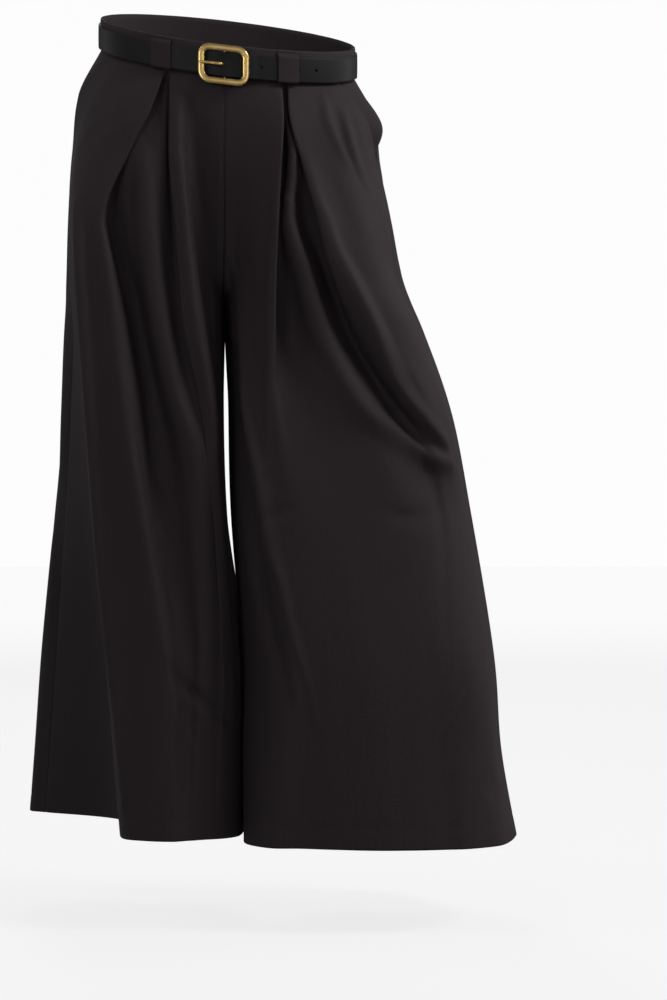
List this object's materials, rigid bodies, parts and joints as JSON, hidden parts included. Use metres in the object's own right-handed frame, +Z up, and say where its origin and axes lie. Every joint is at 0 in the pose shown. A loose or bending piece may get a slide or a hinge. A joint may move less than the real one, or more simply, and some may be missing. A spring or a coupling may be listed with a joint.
{
  "type": "palazzo trousers",
  "caption": "Black wide-leg trousers worn on no one, with deep inverted front pleats, gaping curved pockets, a leather belt and a gold frame buckle",
  "frame": {"origin": "centre of the waist ring, halfway up the waistband: where the wearer holds the trousers up", "axes": "+Z up; the wearer faces -Y, so +X is the wearer's left and the viewer's right in the picture"},
  "size_m": [0.6555, 0.4479, 1.0809],
  "materials": {
    "black_crepe": "matt woven crepe with a soft sheen",
    "black_leather": "smooth satin leather",
    "brushed_gold": "brushed warm gold plate"
  },
  "bodies": {
    "root": {"waistband": "black_crepe", "front_left": "black_crepe", "front_right": "black_crepe", "back_left": "black_crepe", "back_right": "black_crepe", "pocket_facing_left": "black_crepe", "pocket_facing_right": "black_crepe", "loop_front_left": "black_crepe", "loop_front_right": "black_crepe", "loop_back_left": "black_crepe", "loop_back_right": "black_crepe", "belt_strap": "black_leather", "buckle_frame": "brushed_gold", "buckle_prong": "brushed_gold"}
  },
  "joints": []
}
